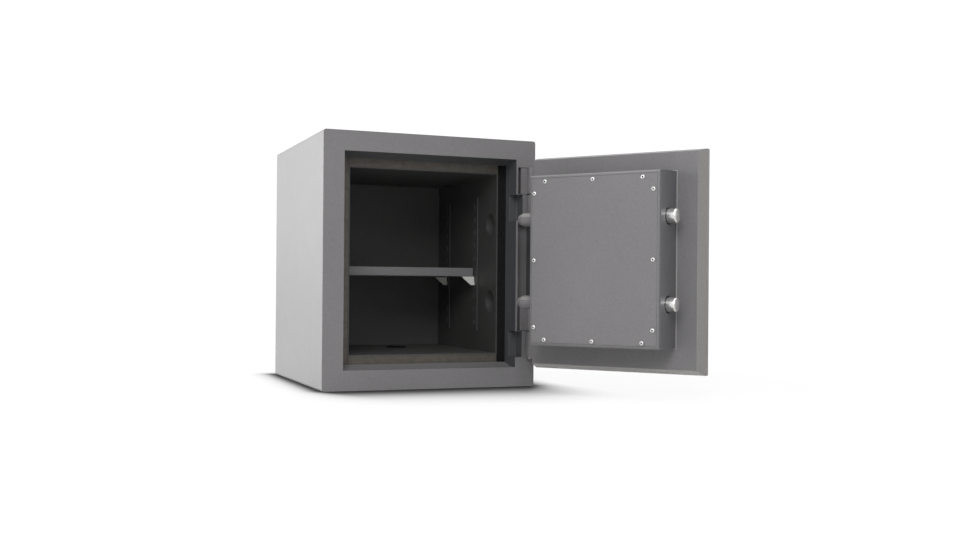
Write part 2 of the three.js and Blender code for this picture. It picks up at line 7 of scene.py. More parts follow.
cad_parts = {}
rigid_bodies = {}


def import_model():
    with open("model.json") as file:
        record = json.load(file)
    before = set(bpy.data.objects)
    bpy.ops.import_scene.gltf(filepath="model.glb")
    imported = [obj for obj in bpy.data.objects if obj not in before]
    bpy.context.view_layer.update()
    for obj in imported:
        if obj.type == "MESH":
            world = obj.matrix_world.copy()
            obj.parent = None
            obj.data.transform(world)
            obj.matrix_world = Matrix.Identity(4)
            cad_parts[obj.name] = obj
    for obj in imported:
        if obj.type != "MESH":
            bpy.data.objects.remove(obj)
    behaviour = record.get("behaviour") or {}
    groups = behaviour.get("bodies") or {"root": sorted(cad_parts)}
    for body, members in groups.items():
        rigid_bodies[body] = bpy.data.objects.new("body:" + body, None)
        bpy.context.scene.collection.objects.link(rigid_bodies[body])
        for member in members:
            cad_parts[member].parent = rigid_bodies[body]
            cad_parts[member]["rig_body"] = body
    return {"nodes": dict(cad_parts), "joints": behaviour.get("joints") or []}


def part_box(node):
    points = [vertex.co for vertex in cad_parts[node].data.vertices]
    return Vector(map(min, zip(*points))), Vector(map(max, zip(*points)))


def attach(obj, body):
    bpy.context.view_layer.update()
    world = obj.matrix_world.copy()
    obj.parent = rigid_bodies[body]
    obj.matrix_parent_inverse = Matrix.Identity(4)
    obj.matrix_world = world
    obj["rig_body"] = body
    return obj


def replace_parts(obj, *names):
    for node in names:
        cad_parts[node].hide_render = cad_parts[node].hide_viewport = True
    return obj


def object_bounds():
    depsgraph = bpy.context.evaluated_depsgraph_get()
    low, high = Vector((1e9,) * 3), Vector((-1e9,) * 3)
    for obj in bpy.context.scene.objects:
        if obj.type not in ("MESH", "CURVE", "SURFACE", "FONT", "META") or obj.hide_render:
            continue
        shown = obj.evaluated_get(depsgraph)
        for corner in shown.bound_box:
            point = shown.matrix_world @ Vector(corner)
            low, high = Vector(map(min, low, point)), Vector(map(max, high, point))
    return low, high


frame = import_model()
CAD_BOX = [list(corner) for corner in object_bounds()]
NODES = frame["nodes"]
JOINTS = {joint["name"]: joint for joint in frame["joints"]}

MM = 0.001
HINGE = Vector(JOINTS["door_hinge"]["pos_m"])
OPEN = math.radians(-JOINTS["door_hinge"]["range_deg"][0])

# Door pieces are drawn in the closed door's place and swung open with this matrix.
DOOR = Matrix.Translation(HINGE) @ Matrix.Rotation(OPEN, 4, "Z") @ Matrix.Translation(-HINGE)
HERE = Matrix.Identity(4)


# ---------------------------------------------------------------- where things are

def closed_box(node):
    """A door node's corners with the door shut."""
    back = DOOR.inverted()
    points = [back @ v.co for v in NODES[node].data.vertices]
    lo = Vector([min(p[i] for p in points) for i in range(3)])
    hi = Vector([max(p[i] for p in points) for i in range(3)])
    return lo, hi


def centre_of(corners):
    return (corners[0] + corners[1]) / 2


# ---------------------------------------------------------------- materials

class Nodes:
    """A small helper to wire a material's nodes."""

    def __init__(self, name):
        self.material = bpy.data.materials.new(name)
        self.material.use_nodes = True
        self.tree = self.material.node_tree
        self.shader = self.tree.nodes["Principled BSDF"]
        coords = self.tree.nodes.new("ShaderNodeTexCoord")
        self.place = coords.outputs["Object"]

    def link(self, a, b):
        self.tree.links.new(a, b)

    def noise(self, scale, detail=3, roughness=0.5, stretch=None):
        node = self.tree.nodes.new("ShaderNodeTexNoise")
        node.inputs["Scale"].default_value = scale
        node.inputs["Detail"].default_value = detail
        node.inputs["Roughness"].default_value = roughness
        place = self.place
        if stretch:
            mapping = self.tree.nodes.new("ShaderNodeMapping")
            mapping.inputs["Scale"].default_value = stretch
            self.link(self.place, mapping.inputs["Vector"])
            place = mapping.outputs["Vector"]
        self.link(place, node.inputs["Vector"])
        return node.outputs["Fac"]

    def cells(self, scale, smooth=0.6):
        node = self.tree.nodes.new("ShaderNodeTexVoronoi")
        node.feature = "SMOOTH_F1"
        node.inputs["Scale"].default_value = scale
        node.inputs["Smoothness"].default_value = smooth
        self.link(self.place, node.inputs["Vector"])
        return node.outputs["Distance"]

    def ramp(self, value, stops):
        node = self.tree.nodes.new("ShaderNodeValToRGB")
        while len(node.color_ramp.elements) < len(stops):
            node.color_ramp.elements.new(0.5)
        for element, (at, colour) in zip(node.color_ramp.elements, stops):
            element.position = at
            element.color = (*colour, 1)
        self.link(value, node.inputs["Fac"])
        return node.outputs["Color"]

    def mix(self, amount, a, b, mode="MIX"):
        node = self.tree.nodes.new("ShaderNodeMix")
        node.data_type = "RGBA"
        node.blend_type = mode
        for socket, value in ((node.inputs["Factor"], amount), (node.inputs["A"], a), (node.inputs["B"], b)):
            if isinstance(value, (int, float)):
                socket.default_value = value
            else:
                self.link(value, socket)
        return node.outputs["Result"]

    def span(self, value, low, high):
        node = self.tree.nodes.new("ShaderNodeMapRange")
        node.inputs["To Min"].default_value = low
        node.inputs["To Max"].default_value = high
        self.link(value, node.inputs["Value"])
        return node.outputs["Result"]

    def math(self, operation, *values):
        node = self.tree.nodes.new("ShaderNodeMath")
        node.operation = operation
        for socket, value in zip(node.inputs, values):
            if isinstance(value, (int, float)):
                socket.default_value = value
            else:
                self.link(value, socket)
        return node.outputs[0]

    def bump(self, height, strength, distance, normal=None):
        node = self.tree.nodes.new("ShaderNodeBump")
        node.inputs["Strength"].default_value = strength
        node.inputs["Distance"].default_value = distance
        self.link(height, node.inputs["Height"])
        if normal is not None:
            self.link(normal, node.inputs["Normal"])
        return node.outputs["Normal"]


def scaled(colour, by):
    return tuple(min(1.0, c * by) for c in colour)


def enamel(name, colour, rough=0.42, grain=1.0, speckle=0.16):
    """Fine-textured stove enamel: small soft dimples, a light speckle, faint handling marks."""
    n = Nodes(name)
    fine = n.noise(1500, 2)
    mottle = n.noise(380, 3, 0.6)
    cloud = n.noise(9, 4)
    base = n.ramp(fine, [(0.3, scaled(colour, 1 - speckle)), (0.7, scaled(colour, 1 + speckle))])
    grit = n.ramp(mottle, [(0.32, (0.86, 0.86, 0.86)), (0.68, (1.0, 1.0, 1.0))])
    tone = n.ramp(cloud, [(0.3, (0.95, 0.95, 0.95)), (0.7, (1.0, 1.0, 1.0))])
    speckled = n.mix(1.0, base, grit, "MULTIPLY")
    n.link(n.mix(1.0, speckled, tone, "MULTIPLY"), n.shader.inputs["Base Color"])
    n.link(n.span(n.noise(25, 4), rough - 0.03, rough + 0.04), n.shader.inputs["Roughness"])
    dimples = n.bump(n.cells(620), 0.28 * grain, 0.0003)
    n.link(n.bump(n.noise(2400, 2), 0.18 * grain, 0.00015, dimples), n.shader.inputs["Normal"])
    return n.material


def plated(name, colour, rough=0.2, brushed=(1, 1, 1), tarnish=0.15, lines=900, metallic=1.0, relief=0.12):
    """Plated metal: fine machining lines, thin cloudy staining."""
    n = Nodes(name)
    n.shader.inputs["Metallic"].default_value = metallic
    stain = n.noise(70, 5, 0.6)
    base = n.ramp(stain, [(0.35, scaled(colour, 1 - tarnish)), (0.6, colour)])
    n.link(base, n.shader.inputs["Base Color"])
    grooves = n.noise(lines, 3, 0.6, brushed)
    n.link(n.span(grooves, rough * 0.75, rough * 1.5), n.shader.inputs["Roughness"])
    n.link(n.bump(grooves, relief, 0.0001), n.shader.inputs["Normal"])
    return n.material


def plain(name, colour, rough=0.6, vary=0.2, scale=300, bump=0.2, gloss=0.5):
    """Matt or satin surface with slight mottling: rubber, strip, cast fill, satin black."""
    n = Nodes(name)
    n.shader.inputs["Specular IOR Level"].default_value = gloss
    mottle = n.noise(scale, 5, 0.6)
    base = n.ramp(mottle, [(0.3, scaled(colour, 1 - vary)), (0.7, scaled(colour, 1 + vary))])
    n.link(base, n.shader.inputs["Base Color"])
    n.link(n.span(mottle, rough - 0.1, rough + 0.1), n.shader.inputs["Roughness"])
    n.link(n.bump(n.noise(scale * 3, 3), bump, 0.0003), n.shader.inputs["Normal"])
    return n.material


PAINT = enamel("grey_enamel", (0.2, 0.194, 0.2))
# Darker enamel that paints the shade on the doorway's hinge side and top.
JAMB_PAINTED_SHADE = enamel("painted_shade_enamel", (0.082, 0.085, 0.09), 0.42)
# Dark enamel of the compartment; on the bolt sockets the same enamel paints the shade in the holes.
INNER_AND_PAINTED_SHADE = enamel("dark_enamel_and_painted_shade", (0.062, 0.061, 0.06), 0.5, 1.6, 0.4)
TRAY = enamel("shelf_enamel", (0.17, 0.168, 0.174), 0.45)
# Darker enamel that paints the shade on the bolt box's side towards the free edge.
BOX_SIDE_PAINTED_SHADE = enamel("box_side_painted_shade_enamel", (0.138, 0.137, 0.145))
# Lighter enamel that paints highlights: the door's free-side edges, the fixed bolts' tops, the bead round the
# bolt box and the liner's front rim.
PAINTED_HIGHLIGHT = enamel("painted_highlight_enamel", (0.31, 0.298, 0.292), 0.4)
# Light enamel that paints light onto the door pan's downward faces.
LOWER_EDGE_PAINTED_LIGHT = enamel("lower_edge_painted_light_enamel", (0.52, 0.5, 0.485), 0.4)
NICKEL = plated("nickel_plate", (0.78, 0.77, 0.74), 0.22, (1, 1, 1), 0.05, 500, 1.0, 0.03)
POLISHED = plated("polished_bolt", (0.87, 0.865, 0.85), 0.2, (1, 1, 1), 0.03, 260, 1.0, 0.01)
ZINC = plated("zinc_plate", (0.84, 0.85, 0.83), 0.3, tarnish=0.15, metallic=0.6)
BRIGHT = plain("white_zinc", (0.62, 0.62, 0.58), 0.35, 0.1, 200, 0.1)
STEEL = plated("bare_steel", (0.42, 0.42, 0.43), 0.36, (1, 1, 8), 0.3)
BRASS = plated("brass", (0.72, 0.55, 0.26), 0.3, tarnish=0.25)
STRIP = plain("brown_strip", (0.079, 0.069, 0.058), 0.55, 0.25, 120)
FILL = plain("cast_fill", (0.42, 0.4, 0.35), 0.9, 0.25, 220, 0.6)
# Black rubber for the anchor plug; on the seal's hinge-side strip the same black paints shade.
RUBBER_AND_PAINTED_SHADE = plain("black_rubber_and_painted_shade", (0.012, 0.012, 0.012), 0.75, 0.3, 200, gloss=0.05)
# Satin black for the dial, bolt guides and index; in the screw sockets the same black paints shade.
BLACK_AND_PAINTED_SHADE = plain("satin_black_and_painted_shade", (0.012, 0.012, 0.013), 0.35, 0.25, 150, 0.05)
MARKS = plain("white_marks", (0.8, 0.8, 0.77), 0.5, 0.06, 400, 0.1)


# ---------------------------------------------------------------- building pieces

# Edges sharper than this are rounded.
BEVEL_FROM = math.radians(28)


def made(name, bm, material, body, place=HERE, bevel=0.0, segments=2, smooth=32):
    """A finished object from a bmesh: bevelled, shaded smooth by angle and riding on its body."""
    bmesh.ops.remove_doubles(bm, verts=bm.verts, dist=1e-7)
    bmesh.ops.recalc_face_normals(bm, faces=bm.faces)
    bm.transform(place)
    mesh = bpy.data.meshes.new(name)
    bm.to_mesh(mesh)
    bm.free()
    mesh.materials.append(material)
    obj = bpy.data.objects.new(name, mesh)
    bpy.context.scene.collection.objects.link(obj)
    if bevel:
        m = obj.modifiers.new("bevel", "BEVEL")
        m.width = bevel
        m.segments = segments
        m.limit_method = "ANGLE"
        m.angle_limit = BEVEL_FROM
        m.use_clamp_overlap = True
        baked(obj)
    for polygon in obj.data.polygons:
        polygon.use_smooth = True
    obj.data.set_sharp_from_angle(angle=math.radians(smooth))
    even = obj.modifiers.new("even", "WEIGHTED_NORMAL")
    even.keep_sharp = True
    even.weight = 80
    baked(obj)
    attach(obj, body)
    return obj


def baked(obj):
    """The modifiers become part of the mesh."""
    graph = bpy.context.evaluated_depsgraph_get()
    mesh = bpy.data.meshes.new_from_object(obj.evaluated_get(graph))
    obj.modifiers.clear()
    obj.data = mesh


def refined(node, material, bevel=0.6 * MM, segments=2, smooth=32):
    """A CAD node with its flat faces merged and its edges rounded."""
    bm = bmesh.new()
    bm.from_mesh(NODES[node].data)
    bmesh.ops.remove_doubles(bm, verts=bm.verts, dist=1e-6)
    bmesh.ops.dissolve_limit(bm, angle_limit=math.radians(1), verts=bm.verts, edges=bm.edges)
    obj = made(node + "_body", bm, material, NODES[node]["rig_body"], HERE, bevel, segments, smooth)
    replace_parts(obj, node)
    return obj


def painted_node(node, material):
    """A CAD node that is shown as it is, in its own material."""
    NODES[node].data.materials.clear()
    NODES[node].data.materials.append(material)


def coat(obj, material, where):
    """A second material on the faces whose centre and normal pass the test."""
    obj.data.materials.append(material)
    index = len(obj.data.materials) - 1
    for polygon in obj.data.polygons:
        if where(polygon.center, polygon.normal):
            polygon.material_index = index


# The six faces of a block whose corners are numbered with the last coordinate changing fastest.
BLOCK_FACES = ((0, 1, 3, 2), (4, 6, 7, 5), (0, 4, 5, 1), (2, 3, 7, 6), (0, 2, 6, 4), (1, 5, 7, 3))


def block(bm, lo, hi):
    xs, ys, zs = ((lo[i], hi[i]) for i in range(3))
    corners = [bm.verts.new((x, y, z)) for x in xs for y in ys for z in zs]
    for face in BLOCK_FACES:
        bm.faces.new([corners[i] for i in face])


def turn(bm, profile, centre, axis, steps=64):
    """Turns a profile of (radius, height) about an axis through centre."""
    spin = Vector((0, 0, 1)).rotation_difference(Vector(axis)).to_matrix().to_4x4()
    to = Matrix.Translation(centre) @ spin
    rings = []
    for r, h in profile:
        if r < 1e-9:
            rings.append([bm.verts.new(to @ Vector((0, 0, h)))])
            continue
        angles = [2 * math.pi * i / steps for i in range(steps)]
        rings.append([bm.verts.new(to @ Vector((r * math.cos(a), r * math.sin(a), h))) for a in angles])
    for one, two in zip(rings, rings[1:]):
        if len(one) == 1 and len(two) == 1:
            continue
        for i in range(steps):
            j = (i + 1) % steps
            loop = [one[0]] if len(one) == 1 else [one[i], one[j]]
            loop += [two[0]] if len(two) == 1 else [two[j], two[i]]
            bm.faces.new(loop)


def rounded(points, r, steps=6):
    """A rectangle's outline with round corners; points are its low and high corners in a plane."""
    (a0, b0), (a1, b1) = points
    outline = []
    quarters = (
        ((a1 - r, b0 + r), -90), ((a1 - r, b1 - r), 0), ((a0 + r, b1 - r), 90), ((a0 + r, b0 + r), 180),
    )
    for (a, b), start in quarters:
        for i in range(steps + 1):
            t = math.radians(start + 90 * i / steps)
            outline.append((a + r * math.cos(t), b + r * math.sin(t)))
    return outline


def tube(bm, loops):
    """Joins outlines in x and z, each at its own y, into a closed skin: [(y, outline), ...]."""
    rings = [[bm.verts.new((a, y, b)) for a, b in outline] for y, outline in loops]
    for one, two in zip(rings, rings[1:] + rings[:1]):
        for i in range(len(one)):
            j = (i + 1) % len(one)
            bm.faces.new((one[i], one[j], two[j], two[i]))


def inset(corners, by):
    (a0, b0), (a1, b1) = corners
    return (a0 + by, b0 + by), (a1 - by, b1 - by)


# ---------------------------------------------------------------- casing

def casing():
    """The wrapped shell with round long edges, the back panel and the front frame."""
    lo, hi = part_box("outer_shell")
    wall = 3 * MM
    front = lo.y - 0.28 * MM
    face = ((lo.x, lo.z), (hi.x, hi.z))
    bm = bmesh.new()
    r, inner_r, soft = 4.5 * MM, 1.6 * MM, 1.2 * MM
    tube(bm, [
        (front, rounded(face, r)),
        (hi.y - soft, rounded(face, r)),
        (hi.y - soft * 0.3, rounded(inset(face, soft * 0.3), r)),
        (hi.y, rounded(inset(face, soft), r - soft * 0.5)),
        (hi.y, rounded(inset(face, wall), inner_r)),
        (front, rounded(inset(face, wall), inner_r)),
    ])
    shell = made("casing", bm, PAINT, "safe_body")
    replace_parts(shell, "outer_shell")
    refined("back_panel", PAINT, 0.8 * MM)
    frame_piece = refined("front_frame", PAINT, 1.3 * MM, 3)
    hinge_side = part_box("seal_ring")[1].x - 12 * MM
    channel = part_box("hinge_block_upper")[0].x
    behind = lo.y - 3.6 * MM

    def shaded(at, n):
        """Where the doorway's painted shade goes: its hinge side and top, but not the bottom of the hinge
        channel.
        """
        recess = at.x > channel and n.y < -0.5
        return at.y > behind and (at.x > hinge_side or n.z < -0.5) and not recess

    # Painted shade: the doorway's hinge side and top take the darker enamel.
    coat(frame_piece, JAMB_PAINTED_SHADE, shaded)
    painted_node("fire_fill", FILL)


def seal():
    """Four strips with butt joints round the step."""
    lo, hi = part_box("seal_ring")
    room_lo, room_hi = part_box("inner_liner")
    gap = 0.3 * MM
    width = room_lo.x - gap - lo.x
    height = room_lo.z - gap - lo.z
    ring = [
        (lo, (lo.x + width, hi.y, hi.z)),
        ((hi.x - width, lo.y, lo.z), hi),
        ((lo.x + width + gap, lo.y, lo.z), (hi.x - width - gap, hi.y, lo.z + height)),
        ((lo.x + width + gap, lo.y, hi.z - height), (hi.x - width - gap, hi.y, hi.z)),
    ]
    pieces = []
    for name, (a, b) in zip(("left", "right", "bottom", "top"), ring):
        bm = bmesh.new()
        block(bm, a, b)
        # The hinge-side strip is black where the others are brown: painted shade.
        material = RUBBER_AND_PAINTED_SHADE if name == "right" else STRIP
        pieces.append(made("seal_strip_" + name, bm, material, "safe_body", HERE, 0.4 * MM))
    for piece in pieces:
        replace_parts(piece, "seal_ring")


def hinges():
    """Blocks and straps in enamel, pins turned from bare steel with a head below."""
    for height in ("upper", "lower"):
        refined("hinge_block_" + height, PAINT, 0.5 * MM, 2, 40)
        refined("hinge_strap_" + height, PAINT, 0.7 * MM, 3, 40)
        lo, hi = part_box("hinge_pin_" + height)
        centre = Vector((*centre_of((lo, hi)).xy, lo.z))
        r = (hi.x - lo.x) / 2
        pin = 4.3 * MM
        head = 3.1 * MM
        tall = hi.z - lo.z
        bm = bmesh.new()
        turn(bm, [
            (0, 0), (r - 1.4 * MM, 0), (r - 0.4 * MM, 0.4 * MM), (r, 1.2 * MM), (r, head), (pin, head),
            (pin, tall - 0.6 * MM), (pin - 0.6 * MM, tall), (0, tall),
        ], centre, (0, 0, 1), 48)
        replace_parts(made("hinge_pin_turned_" + height, bm, STEEL, "safe_body"), "hinge_pin_" + height)


# ---------------------------------------------------------------- interior

def interior():
    """The compartment with its shelf; the liner's front rim has a painted highlight at the right and at the
    bottom.
    """
    liner = refined("inner_liner", INNER_AND_PAINTED_SHADE, 0.5 * MM)
    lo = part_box("inner_liner")[0]
    rim, sill, right = lo.y + 0.2 * MM, lo.z + 3 * MM, 100 * MM
    # Painted highlight on the liner's front rim at the right and at the bottom.
    coat(liner, PAINTED_HIGHLIGHT, lambda at, n: at.y < rim and n.y < -0.5 and (at.x > right or at.z < sill))
    for side in ("left", "right"):
        for height in ("upper", "lower"):
            # Painted shade: the bolt sockets are in the liner's dark enamel.
            refined(f"bolt_socket_{side}_{height}", INNER_AND_PAINTED_SHADE, 0.3 * MM)
        for where in ("front", "rear"):
            refined(f"shelf_standard_{side}_{where}", INNER_AND_PAINTED_SHADE, 0.25 * MM)
            refined(f"shelf_clip_{side}_{where}", BRIGHT, 0.3 * MM)
    refined("shelf", TRAY, 0.9 * MM, 3)
    refined("anchor_plug", RUBBER_AND_PAINTED_SHADE, 0.6 * MM)


# ---------------------------------------------------------------- door

def door():
    """Plate, pan, bolt box and the two fixed bolts; painted highlights on the faces towards the free side,
    the pan's downward faces and the fixed bolts' tops, and painted shade on the bolt box's free side.
    """
    free = Vector((math.cos(OPEN), math.sin(OPEN), 0)) * -1
    plate = refined("door_face_plate", PAINT, 0.8 * MM, 3)
    # Painted highlight on the plate's edge towards the free side.
    coat(plate, PAINTED_HIGHLIGHT, lambda at, n: n.dot(free) > 0.6)
    pan = refined("door_pan", PAINT, 0.6 * MM, 3)
    # Painted highlight on the pan's bevel towards the free side.
    coat(pan, PAINTED_HIGHLIGHT, lambda at, n: n.dot(free) > 0.5)
    # Painted light on the pan's downward faces.
    coat(pan, LOWER_EDGE_PAINTED_LIGHT, lambda at, n: n.z < -0.5)
    painted_node("door_fill", FILL)
    box = refined("bolt_box", PAINT, 0.8 * MM, 3)
    # Painted shade on the bolt box's side towards the free edge.
    coat(box, BOX_SIDE_PAINTED_SHADE, lambda at, n: n.dot(free) > 0.6)
    refined("box_cover", PAINT, 0.5 * MM, 2)
    box_bead()
    for height in ("upper", "lower"):
        lo, hi = closed_box("dead_bolt_" + height)
        r = (hi.z - lo.z) / 2
        centre = Vector((lo.x, *centre_of((lo, hi)).yz))
        length = hi.x - lo.x
        nose, tip, edge = 9 * MM, 8.7 * MM, 1.4 * MM
        profile = [(0, 0), (r, 0), (r, length - nose)]
        for i in range(1, 8):
            t = i / 7
            profile.append((r - (r - tip) * t, length - nose + (nose - edge) * t))
        for i in range(1, 5):
            a = math.radians(90 * i / 4)
            profile.append((tip - edge * (1 - math.cos(a)), length - edge * (1 - math.sin(a))))
        profile.append((0, length))
        bm = bmesh.new()
        turn(bm, profile, centre, (1, 0, 0), 48)
        fixed = made("dead_bolt_turned_" + height, bm, PAINT, "door", DOOR)
        # Painted highlight on the fixed bolt's upper faces.
        coat(fixed, PAINTED_HIGHLIGHT, lambda at, n: n.z > 0.35)
        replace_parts(fixed, "dead_bolt_" + height)
        refined("bolt_guide_" + height, BLACK_AND_PAINTED_SHADE, 0.3 * MM)
    refined("lock_case", ZINC, 0.6 * MM)
    refined("lock_cover", ZINC, 0.5 * MM)


def box_bead():
    """The bead of sealant where the bolt box stands on the door plate, in the lighter enamel as a painted
    highlight.
    """
    lo, hi = closed_box("bolt_box")
    r = 1.6 * MM
    bm = bmesh.new()
    base = lo.y
    corners = (lo.x, lo.z), (hi.x, hi.z)
    loops = []
    for i in range(6):
        a = math.radians(90 * i / 5)
        loops.append((base + r * math.sin(a), rounded(inset(corners, -r * math.cos(a)), 1.4 * MM, 4)))
    loops.append((base + r, rounded(inset(corners, 0.4 * MM), 1 * MM, 4)))
    loops.append((base, rounded(inset(corners, 0.4 * MM), 1 * MM, 4)))
    tube(bm, loops)
    # The bead takes the highlight enamel: a painted highlight along the foot of the bolt box.
    return made("box_bead", bm, PAINTED_HIGHLIGHT, "door", DOOR)


def live_bolts():
    """The two bright bolts with a rounded rim, and what carries them."""
    for height in ("upper", "lower"):
        lo, hi = closed_box("live_bolt_" + height)
        r = (hi.z - lo.z) / 2
        centre = Vector((hi.x, *centre_of((lo, hi)).yz))
        length = hi.x - lo.x
        edge = 2.2 * MM
        profile = [(0, 0), (r - 0.6 * MM, 0), (r, 0.6 * MM)]
        for i in range(6):
            a = math.radians(90 * i / 5)
            profile.append((r - edge + edge * math.cos(a), length - edge + edge * math.sin(a)))
        profile.append((0, length))
        bm = bmesh.new()
        turn(bm, profile, centre, (-1, 0, 0), 72)
        bolt = made("live_bolt_turned_" + height, bm, POLISHED, "bolt_work", DOOR)
        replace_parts(bolt, "live_bolt_" + height)
    refined("bolt_bar", STEEL, 0.5 * MM)
    refined("drive_plate", STEEL, 0.4 * MM)


def cover_screws():
    """Button heads: a domed ring round a six-sided socket whose floor and walls are black as painted shade.
    """
    shut = DOOR.inverted()
    for i in range(1, 13):
        node = f"cover_screw_{i:02d}"
        lo, hi = closed_box(node)
        centre = centre_of((lo, hi))
        r = (hi.x - lo.x) / 2
        tall, mouth, deep = 2.2 * MM, 1.9 * MM, 1.7 * MM
        shank, reach, edge = 1.6 * MM, 4 * MM, 0.35 * MM
        base = Vector((centre.x, hi.y - tall, centre.z))
        profile = [(0, -reach), (shank, -reach), (shank, 0), (r - 0.3 * MM, 0), (r, edge)]
        for k in range(8):
            t = k / 7
            rise = math.sin(t * math.pi / 2)
            profile.append((r - (r - mouth) * t ** 1.6, edge + (tall - edge) * rise))
        bm = bmesh.new()
        turn(bm, profile, base, (0, 1, 0), 36)
        rim = [e for e in bm.edges if e.is_boundary]
        hexagon = []
        key_r, turned = mouth * 0.9, 17 * i
        for height in (tall - 0.05 * MM, tall - deep):
            angles = [math.radians(60 * k + turned) for k in range(6)]
            hexagon.append([
                bm.verts.new(base + Vector((key_r * math.cos(a), height, key_r * math.sin(a))))
                for a in angles
            ])
        for k in range(6):
            j = (k + 1) % 6
            bm.faces.new((hexagon[0][k], hexagon[0][j], hexagon[1][j], hexagon[1][k]))
        bm.faces.new(hexagon[1])
        mouth_edges = rim + [e for e in bm.edges if e.is_boundary and e not in rim]
        bmesh.ops.triangle_fill(bm, edges=mouth_edges, use_beauty=True)
        screw = made(f"button_screw_{i:02d}", bm, ZINC, "door", DOOR)
        # Painted shade: the socket's floor and walls are black.
        coat(screw, BLACK_AND_PAINTED_SHADE, lambda at, n, c=base: in_socket(shut @ at, c, mouth, tall))
        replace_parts(screw, node)


def in_socket(at, base, mouth, tall):
    """Whether a face's centre lies inside a screw's socket."""
    flat = Vector((at.x - base.x, 0, at.z - base.z)).length
    return flat < mouth * 0.93 and base.y < at.y < base.y + tall - 0.2 * MM


def outward(node):
    """A door node's axis point on the front of the door plate, and its radius."""
    lo, hi = closed_box(node)
    plate = closed_box("door_face_plate")[0].y
    middle = centre_of((lo, hi))
    return Vector((middle.x, plate, middle.z)), (hi.x - lo.x) / 2


def dial():
    """A coned dial with a fluted grip."""
    centre, rim = outward("dial")
    bm = bmesh.new()
    turn(bm, [
        (0, 1 * MM), (rim, 1 * MM), (rim, 4.4 * MM), (rim - 0.6 * MM, 5 * MM), (33.2 * MM, 7.8 * MM),
        (32.6 * MM, 8.1 * MM), (20 * MM, 10 * MM), (17.6 * MM, 11 * MM), (16.4 * MM, 13.5 * MM),
        (16.4 * MM, 15 * MM), (0, 15 * MM),
    ], centre, (0, -1, 0), 120)
    flutes, steps = 30, 8
    grip_r, flute, shoulder, crown = 17, 0.8, 0.9, 2.2
    rings = []
    # Each height of the grip, and how deep its flutes are there; -1 is the edge of the flat end.
    for height, depth in ((14.5, 0), (15.5, 1), (29.5, 1), (31.2, 0.4), (32.4, 0), (33, -1)):
        ring = []
        for i in range(flutes * steps):
            a = 2 * math.pi * i / (flutes * steps)
            groove = max(0.0, math.cos(flutes * a)) * flute * max(depth, 0)
            r = (grip_r - groove - (shoulder if depth <= 0 else 0) - (crown if depth < 0 else 0)) * MM
            ring.append(bm.verts.new(centre + Vector((r * math.cos(a), -height * MM, r * math.sin(a)))))
        rings.append(ring)
    for one, two in zip(rings, rings[1:]):
        for i in range(len(one)):
            j = (i + 1) % len(one)
            bm.faces.new((one[i], one[j], two[j], two[i]))
    bm.faces.new(rings[0])
    bm.faces.new(rings[-1])
    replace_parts(made("combination_dial", bm, BLACK_AND_PAINTED_SHADE, "dial", DOOR), "dial")
    dial_marks(centre)


def dial_marks(centre):
    """A hundred graduations and a figure at every tenth, standing just proud of the dial."""
    outer, figure_r = 32.2, 24.6
    sunk, proud = -0.1, 0.12

    def face(r):
        """The height of the dial's cone at a radius."""
        return 10 - 2 * (r - 20) / 12.6

    bm = bmesh.new()
    for i in range(100):
        a = 2 * math.pi * i / 100
        length = 4.2 if i % 10 == 0 else 3.2 if i % 5 == 0 else 2.2
        wide = 0.28 if i % 5 == 0 else 0.18
        out, along = Vector((math.sin(a), 0, math.cos(a))), Vector((math.cos(a), 0, -math.sin(a)))
        corners = []
        for r in (outer - length, outer):
            for side in (-wide, wide):
                for lift in (sunk, proud):
                    point = out * r + along * side + Vector((0, -face(r) - lift, 0))
                    corners.append(bm.verts.new(centre + point * MM))
        for corner_set in BLOCK_FACES:
            bm.faces.new([corners[k] for k in corner_set])
    for i in range(10):
        a = 2 * math.pi * i / 10
        curve = bpy.data.curves.new("figure", "FONT")
        curve.body = str(i * 10)
        curve.size = 4.4 * MM
        curve.extrude = 0.15 * MM
        curve.align_x = "CENTER"
        curve.align_y = "CENTER"
        text = bpy.data.objects.new("figure", curve)
        bpy.context.scene.collection.objects.link(text)
        place = centre + Vector((math.sin(a) * figure_r, -face(figure_r), math.cos(a) * figure_r)) * MM
        text.matrix_world = (
            Matrix.Translation(place) @ Matrix.Rotation(a, 4, "Y") @ Matrix.Rotation(math.radians(90), 4, "X")
        )
        bpy.context.view_layer.update()
        mesh = bpy.data.meshes.new_from_object(text.evaluated_get(bpy.context.evaluated_depsgraph_get()))
        mesh.transform(text.matrix_world)
        bm.from_mesh(mesh)
        bpy.data.objects.remove(text)
    made("dial_figures", bm, MARKS, "dial", DOOR, smooth=20)


def dial_ring():
    """A plated ring round the dial, with an index mark at the top."""
    centre, rim = outward("dial_ring")
    drawn_rim = 45
    bm = bmesh.new()
    profile = [
        (37, 0.3), (45, 0.3), (45, 2.2), (44.4, 3.4), (43, 6.9), (41.6, 8.5), (39.6, 9.4), (38.2, 9.2),
        (37, 8), (37, 0.3),
    ]
    turn(bm, [(r * rim / drawn_rim, h * MM) for r, h in profile], centre, (0, -1, 0), 120)
    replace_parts(made("dial_ring_turned", bm, NICKEL, "door", DOOR), "dial_ring")
    bm = bmesh.new()
    top = centre + Vector((0, 0, 40.3 * MM))
    block(bm, top + Vector((-0.45, -9.45, -1.6)) * MM, top + Vector((0.45, -8.4, 1.6)) * MM)
    made("dial_index", bm, BLACK_AND_PAINTED_SHADE, "door", DOOR)


